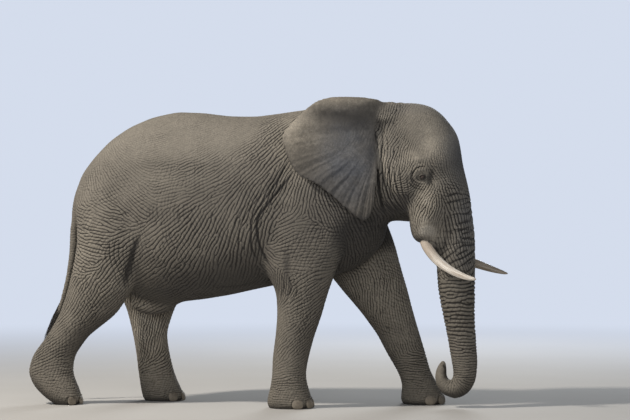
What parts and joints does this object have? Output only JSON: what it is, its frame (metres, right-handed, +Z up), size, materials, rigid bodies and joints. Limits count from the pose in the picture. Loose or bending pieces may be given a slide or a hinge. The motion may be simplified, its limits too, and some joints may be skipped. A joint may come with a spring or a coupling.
{
  "type": "elephant",
  "caption": "Life-size still model of a bull African bush elephant in mid stride, ears laid back, tusks out and the tip of its hanging trunk curled back.",
  "frame": {"origin": "on the floor, under the middle of the box round the whole animal", "axes": "+X the way the animal walks and faces, +Y its left, +Z up"},
  "size_m": [5.1584, 1.4628, 3.312],
  "materials": {
    "skin": "thick dry wrinkled hide, warm grey with dust, thinner and bluer on the ears, matt",
    "ivory": "worn ivory, cream with stained grain, semi-gloss",
    "toenail": "worn horn, pale brown, satin",
    "eye": "dark amber-brown, wet gloss",
    "tail_hair": "coarse black wiry hair, satin"
  },
  "bodies": {
    "root": {"ear_left": "skin", "ear_right": "skin", "eye_left": "eye", "eye_right": "eye", "foot_fore_left": "skin", "foot_fore_right": "skin", "foot_hind_left": "skin", "foot_hind_right": "skin", "head": "skin", "leg_fore_left": "skin", "leg_fore_right": "skin", "leg_hind_left": "skin", "leg_hind_right": "skin", "lower_jaw": "skin", "nail_fore_left_1": "toenail", "nail_fore_left_2": "toenail", "nail_fore_left_3": "toenail", "nail_fore_left_4": "toenail", "nail_fore_right_1": "toenail", "nail_fore_right_2": "toenail", "nail_fore_right_3": "toenail", "nail_fore_right_4": "toenail", "nail_hind_left_1": "toenail", "nail_hind_left_2": "toenail", "nail_hind_left_3": "toenail", "nail_hind_right_1": "toenail", "nail_hind_right_2": "toenail", "nail_hind_right_3": "toenail", "neck": "skin", "tail": "skin", "tail_tuft": "tail_hair", "torso": "skin", "trunk_lower": "skin", "trunk_middle": "skin", "trunk_tip": "skin", "trunk_upper": "skin", "tusk_left": "ivory", "tusk_right": "ivory"}
  },
  "joints": []
}
